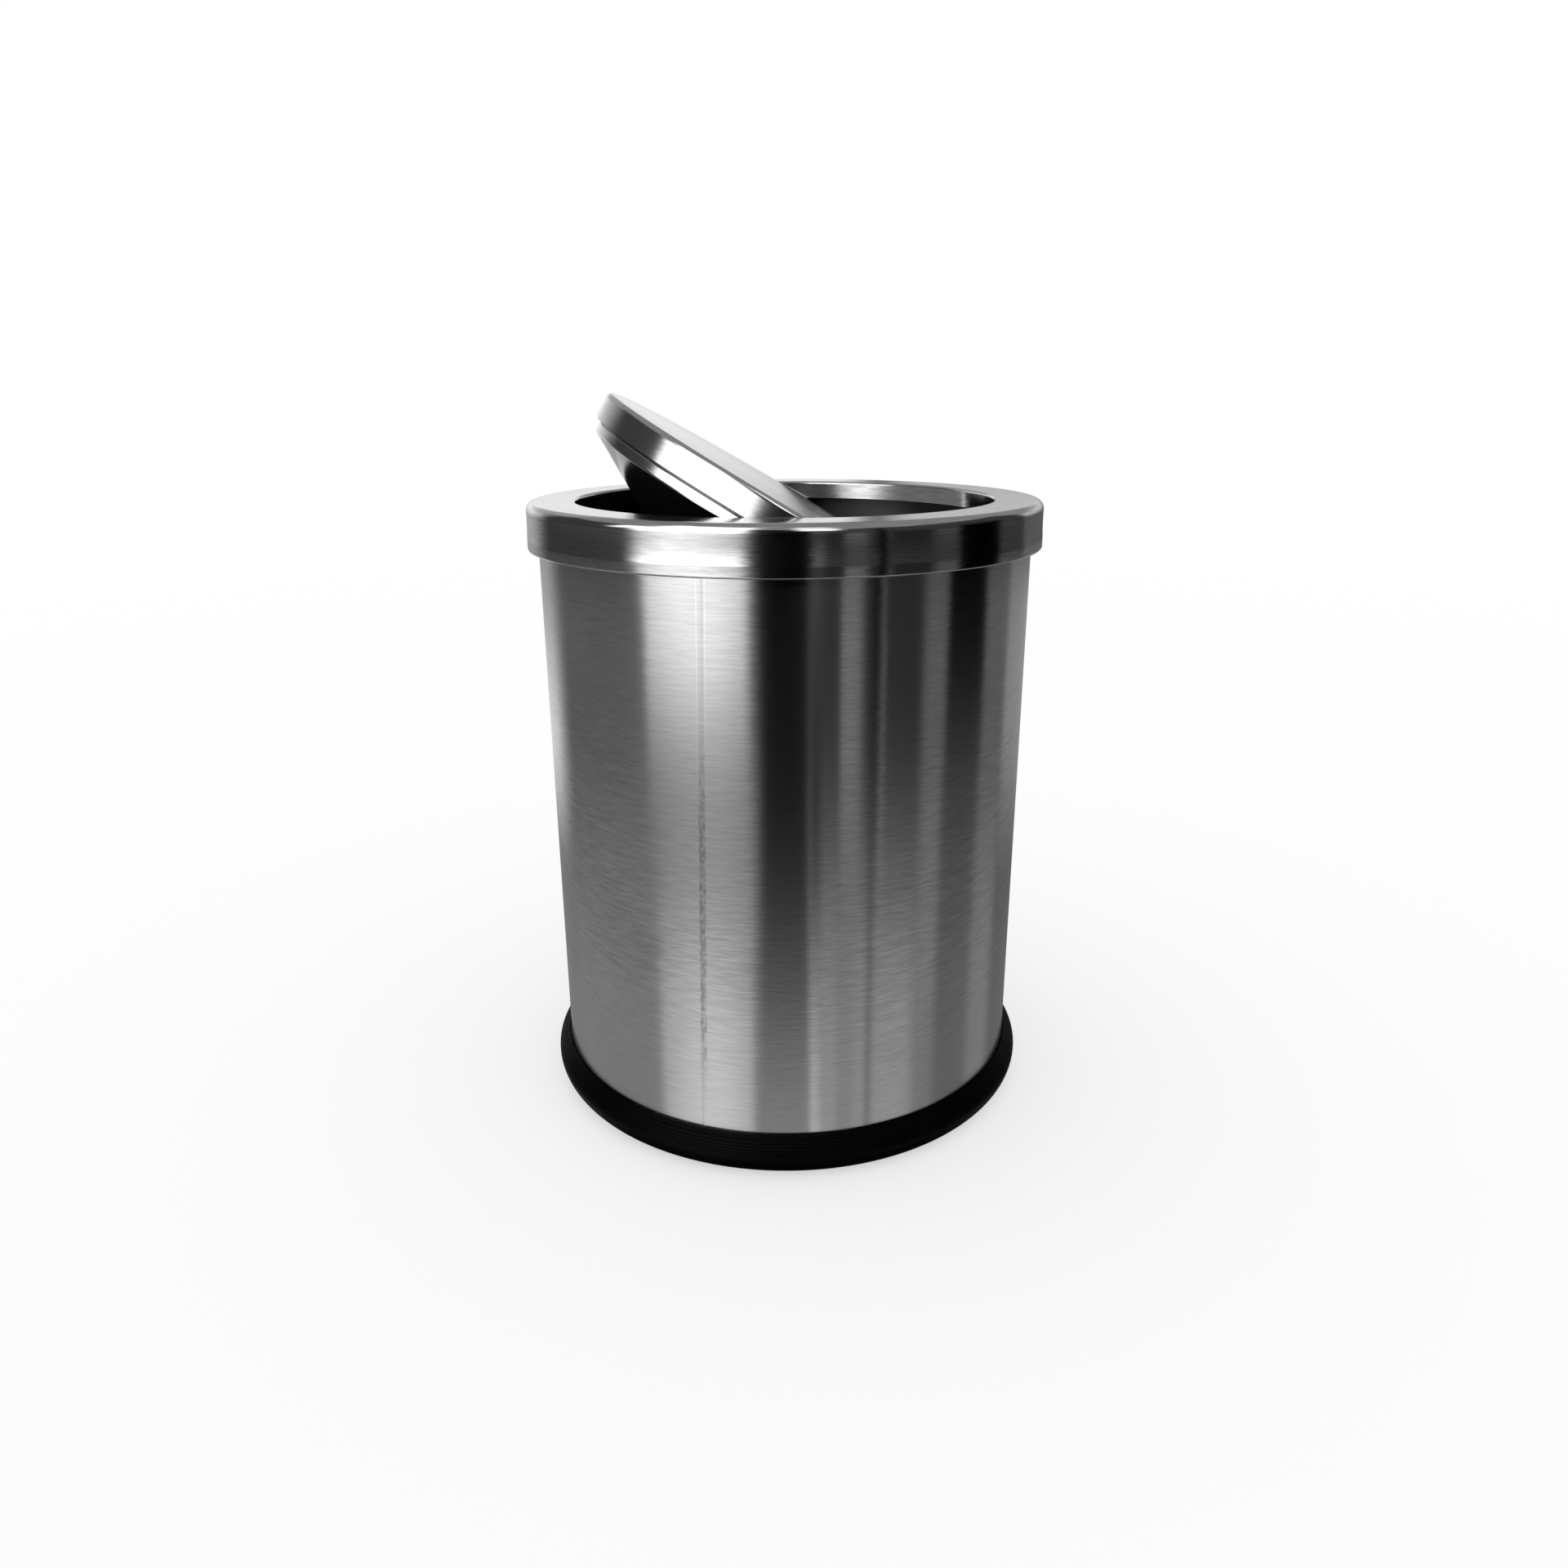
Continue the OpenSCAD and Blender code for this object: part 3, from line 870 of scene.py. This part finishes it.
def platedSteel(look):
    # zinc plating: a fine spangle and a cloudy film
    tree = Tree("zincSteel")
    coords = tree.coords()
    spangle = tree.add("TexVoronoi")
    tree.wire(coords, spangle.inputs["Vector"])
    spangle.inputs["Scale"].default_value = look["spangleScale"]
    cell = tree.add("SeparateColor")
    tree.wire(spangle.outputs["Color"], cell.inputs[0])
    cloud = tree.noise(coords, scale=look["cloudScale"], detail=4)
    grain = tree.noise(coords, scale=look["grainScale"], detail=3)
    tone = tree.weighted((cell.outputs[0], look["spangle"]), (cloud, 1 - look["spangle"]))
    colour = tree.blend(tone, look["dark"], look["light"])
    rough = tree.remap(tone, 0.2, 0.8, look["roughLow"], look["roughHigh"])
    tree.shader(colour, Metallic=1.0, Roughness=rough, Normal=tree.bump(grain, look["grainDepth"]))
    return tree.material


zincSteel = platedSteel({
    "spangleScale": 900.0, "cloudScale": 160.0, "grainScale": 2400.0, "spangle": 0.35,
    "dark": (0.44, 0.45, 0.47, 1), "light": (0.66, 0.67, 0.69, 1),
    "roughLow": 0.24, "roughHigh": 0.42, "grainDepth": 0.00001})


def castIron(look):
    tree = Tree("castIron")
    coords = tree.coords()
    sand = tree.noise(coords, scale=look["sandScale"], detail=5, rough=0.65)
    cloud = tree.noise(coords, scale=look["cloudScale"], detail=3)
    rust = tree.remap(tree.product(sand, cloud), look["rustFrom"], look["rustFull"])
    colour = tree.blend(sand, grey(look["dark"], look["tint"]), grey(look["light"], look["tint"]))
    colour = tree.blend(tree.product(rust, look["rustCover"]), colour, look["rust"])
    rough = tree.remap(sand, 0.3, 0.7, look["roughLow"], look["roughHigh"])
    tree.shader(colour, Metallic=0.6, Roughness=rough, Normal=tree.bump(sand, look["sandDepth"]))
    return tree.material


weightIron = castIron({
    "sandScale": 700.0, "cloudScale": 70.0, "dark": 0.05, "light": 0.14, "tint": 0.02,
    "rust": (0.13, 0.06, 0.03, 1), "rustFrom": 0.3, "rustFull": 0.42, "rustCover": 0.5,
    "roughLow": 0.55, "roughHigh": 0.8, "sandDepth": 0.00012})


def mouldedNylon(look):
    tree = Tree("mouldedNylon")
    coords = tree.coords()
    cloud = tree.noise(coords, scale=look["cloudScale"], detail=2)
    grain = tree.noise(coords, scale=look["grainScale"], detail=3)
    colour = tree.blend(cloud, look["dark"], look["light"])
    rough = tree.remap(cloud, 0.3, 0.7, look["roughLow"], look["roughHigh"])
    shader = tree.shader(colour, Roughness=rough, Normal=tree.bump(grain, look["grainDepth"]))
    shader.inputs["Subsurface Weight"].default_value = look["depth"]
    shader.inputs["Subsurface Radius"].default_value = look["reach"]
    return tree.material


whiteNylon = mouldedNylon({
    "cloudScale": 220.0, "grainScale": 2800.0,
    "dark": (0.74, 0.73, 0.68, 1), "light": (0.84, 0.83, 0.79, 1),
    "depth": 0.2, "reach": (1 * mm, 1 * mm, 0.8 * mm),
    "roughLow": 0.34, "roughHigh": 0.46, "grainDepth": 0.00001})


def dressNodes(material, *names):
    # the small CAD pieces keep their shape and get this object's finishes
    for name in names:
        node = frame["nodes"][name]
        node.data.materials.clear()
        node.data.materials.append(material)
        crisp(node)


dressNodes(zincSteel, "pivot_bracket_front", "pivot_bracket_rear", "pivot_screw_front", "pivot_screw_rear",
           "screw_washer_front", "screw_washer_rear", "screw_nut_front", "screw_nut_rear",
           "weight_screw", "weight_washer", "weight_nut")
dressNodes(whiteNylon, "pivot_bush_front", "pivot_bush_rear")
dressNodes(weightIron, "counterweight")
print("small pieces dressed")


studio = {
    "white": 1.0,
    "floorColour": 0.985,
    "floorGlow": 0.55,           # to the camera the floor is partly white by itself
    "floorRadius": 2.6,
    "floorFade": 1.1,
}


def makeWorld(look):
    world = bpy.data.worlds.new("studio")
    scene.world = world
    world.use_nodes = True
    light = world.node_tree.nodes["Background"]
    light.inputs["Color"].default_value = (1, 1, 1, 1)
    light.inputs["Strength"].default_value = look["white"]


def disc(name, radius, height, count=96):
    bm = bmesh.new()
    bmesh.ops.create_circle(bm, cap_ends=True, segments=count, radius=radius)
    bm.transform(Matrix.Translation((0, 0, height)))
    piece = meshPiece(name, bm)
    return piece


def makeFloor(look):
    tree = Tree("floor")
    fade = tree.remap(tree.length(tree.coords()), look["floorFade"], look["floorRadius"], smooth=True)
    paint = tree.add("BsdfDiffuse")
    paint.inputs["Color"].default_value = grey(look["floorColour"])
    seen = tree.add("LightPath").outputs["Is Camera Ray"]
    lit = tree.layer(tree.product(seen, look["floorGlow"]), paint.outputs[0], tree.glow())
    tree.surface(tree.layer(fade, lit, tree.add("BsdfTransparent").outputs[0]))
    floor = disc("floor", look["floorRadius"], 0)
    floor.data.materials.append(tree.material)
    floor.visible_glossy = False


def onlyReflected(piece):
    piece.visible_camera = False
    piece.visible_diffuse = False
    piece.visible_shadow = False
    piece.visible_transmission = False
    piece.visible_volume_scatter = False


# the steel reflects a tent of glowing cards that nothing else sees; angles are degrees from
# the camera, positive to the right of it
tent = {
    "radius": 0.9,
    "bottom": -0.95,
    "top": 0.95,
    "stops": (-0.48, -0.34, -0.2, -0.06, 0.03, 0.12, 0.17, 0.2, 0.25, 0.42, 0.6),
    "cardGap": 0.004,            # each card stands this far in front of the one before it
    "facet": 2,                  # degrees
    "hardEdge": 0.001,           # the softness of an edge that has none, as a share of the card
    "rimSoft": 0.02,
    "endMargin": 0.02,           # the ceiling and the bottom reach this far past the cards
    "ceilingGlow": 0.28,
    "bottomGlow": 0.03,
}
tentCards = [
    # name, from, to, soft edge left, soft edge right, levels at the stops upwards
    ("tentBack", -180, 180, 0, 0, 0.28, 0.28, 0.22, 0.15, 0.13, 0.17, 0.1, 0.04, 0.05, 0.05, 0.05),
    ("panelLeft", -188, -114, 4, 23, 0.24, 0.24, 0.2, 0.8, 0.68, 0.45, 0.35, 0.4, 0.6, 1.02, 0.42),
    ("dimRight", 10, 66, 3, 8, 0.44, 0.4, 0.18, 0.02, 0.02, 0.03, 0.02, 0.01, 0.04, 0.05, 0.05),
    ("centreFlag", -16, 12, 8, 4, 0.38, 0.12, 0.0, 0.0, 0.0, 0.0, 0.0, 0.0, 0.0, 0.0, 0.0),
    ("stripOne", 9, 17, 3, 4, 0.72, 0.45, 0.0, 0.0, 0.02, 0.04, 0.06, 0.03, 0.16, 0.06, 0.06),
    ("stripTwo", 22, 35, 2, 6, 0.34, 0.34, 0.18, 0.18, 0.24, 0.28, 0.2, 0.04, 0.08, 0.06, 0.06),
    ("slit", 36, 40, 1, 1, 0.2, 0.2, 0.1, 0.0, 0.0, 0.0, 0.0, 0.0, 0.0, 0.0, 0.0),
    ("stripFour", 40, 43, 1, 1, 0.44, 0.4, 0.2, 0.14, 0.14, 0.14, 0.08, 0.02, 0.04, 0.05, 0.05),
    ("stripThree", 58, 74, 8, 2, 0.27, 0.28, 0.26, 0.14, 0.15, 0.18, 0.12, 0.04, 0.05, 0.05, 0.05),
    ("darkGap", 71, 100, 4, 5, 0.18, 0.17, 0.13, 0.06, 0.01, 0.0, 0.0, 0.0, 0.0, 0.01, 0.05),
    ("panelRight", 115, 174, 6, 5, 0.16, 0.16, 0.13, 0.28, 0.32, 0.32, 0.2, 0.1, 0.14, 0.68, 0.3),
    ("keyBox", -66, -10, 32, 24, 0.92, 0.86, 0.32, 0.12, 0.42, 2.05, 2.0, 0.2, 0.3, 1.9, 2.0),
    ("keyStep", -63, -13, 5, 5, 0.9, 0.84, 0.32, 0.12, 0.4, 1.75, 1.7, 0.2, 0.3, 1.9, 2.0),
]
sheer = {"keyStep": 0.5}         # a card that half of the one behind it shows through
# parts of the tent above the bin's rim: name, from, to, soft edges left and right, low, high, level
rimCards = [
    ("keyGap", -68, -10, 24, 40, 0.165, 0.26, 1.3),
    ("keyTop", -66, -12, 12, 8, 0.24, 0.46, 2.3),
    ("keyUpper", -77, -13, 6, 6, 0.45, 0.86, 1.9),
    ("overCamera", 4, 24, 5, 5, 0.66, 0.9, 2.4),
]
# panels under the tent's ceiling: name, from, to, soft edges, level
canopy = {"outer": 0.85, "low": 0.88, "inner": 0.42, "high": 0.93}
canopyCards = [
    ("canopyKey", -68, -8, 14, 2.2),
    ("canopyStrip", 2, 26, 6, 1.4),
]


def cardMaterial(name, width, softLeft, softRight, levels, rim=None, strength=1.0):
    tree = Tree(name)
    across = tree.part(tree.coords("UV"), "X")
    height = tree.part(tree.coords(), "Z")
    left = tree.remap(across, 0.0, max(softLeft / width, tent["hardEdge"]), smooth=True)
    right = tree.remap(across, 1.0, 1.0 - max(softRight / width, tent["hardEdge"]), smooth=True)
    cover = tree.product(left, right, strength)
    if rim:
        lowest, highest = rim
        fromLow = tree.remap(height, lowest, lowest + tent["rimSoft"], smooth=True)
        fromHigh = tree.remap(height, highest, highest - tent["rimSoft"], smooth=True)
        cover = tree.product(cover, fromLow, fromHigh)
    level = levels[0]
    for i, (low, high) in enumerate(zip(tent["stops"], tent["stops"][1:len(levels)])):
        change = tree.remap(height, low, high, 0.0, levels[i + 1] - levels[i])
        level = tree.math("ADD", level, change)
    tree.surface(tree.layer(cover, tree.add("BsdfTransparent").outputs[0], tree.glow(level)))
    return tree.material


def makeCard(name, first, last, low, high, radius, material, topRadius=None):
    towardsCamera = cameraView["azimuth"] - 90
    count = max(4, round((last - first) / tent["facet"]))
    bm = bmesh.new()
    uv = bm.loops.layers.uv.new("card")
    edges = []
    for i in range(count + 1):
        angle = math.radians(towardsCamera + first + (last - first) * i / count)
        lower, upper = [bm.verts.new((r * math.cos(angle), r * math.sin(angle), z))
                        for r, z in ((radius, low), (topRadius or radius, high))]
        edges.append((lower, upper, i / count))
    for a, b in zip(edges, edges[1:]):
        face = bm.faces.new((a[0], b[0], b[1], a[1]))
        for loop, where in zip(face.loops, ((a[2], 0), (b[2], 0), (b[2], 1), (a[2], 1))):
            loop[uv].uv = where
    piece = meshPiece(name, bm)
    piece.data.materials.append(material)
    onlyReflected(piece)


def makeTent():
    radius = tent["radius"]
    for name, first, last, softLeft, softRight, *levels in tentCards:
        strength = sheer.get(name, 1.0)
        material = cardMaterial(name, last - first, softLeft, softRight, levels, strength=strength)
        makeCard(name, first, last, tent["bottom"], tent["top"], radius, material)
        radius -= tent["cardGap"]
    for name, first, last, softLeft, softRight, low, high, level in rimCards:
        material = cardMaterial(name, last - first, softLeft, softRight, [level], (low, high))
        makeCard(name, first, last, low, high, radius, material)
        radius -= tent["cardGap"]
    for name, first, last, soft, level in canopyCards:
        material = cardMaterial(name, last - first, soft, soft, [level])
        makeCard(name, first, last, canopy["low"], canopy["high"], canopy["outer"], material, canopy["inner"])
    makeEnd("tentCeiling", tent["top"], tent["ceilingGlow"])
    makeEnd("tentBottom", tent["bottom"], tent["bottomGlow"])


def makeEnd(name, height, level):
    tree = Tree(name)
    tree.surface(tree.glow(level))
    cover = disc(name, tent["radius"] + tent["endMargin"], height)
    cover.data.materials.append(tree.material)
    onlyReflected(cover)


makeWorld(studio)
makeFloor(studio)
makeTent()
print("studio made")
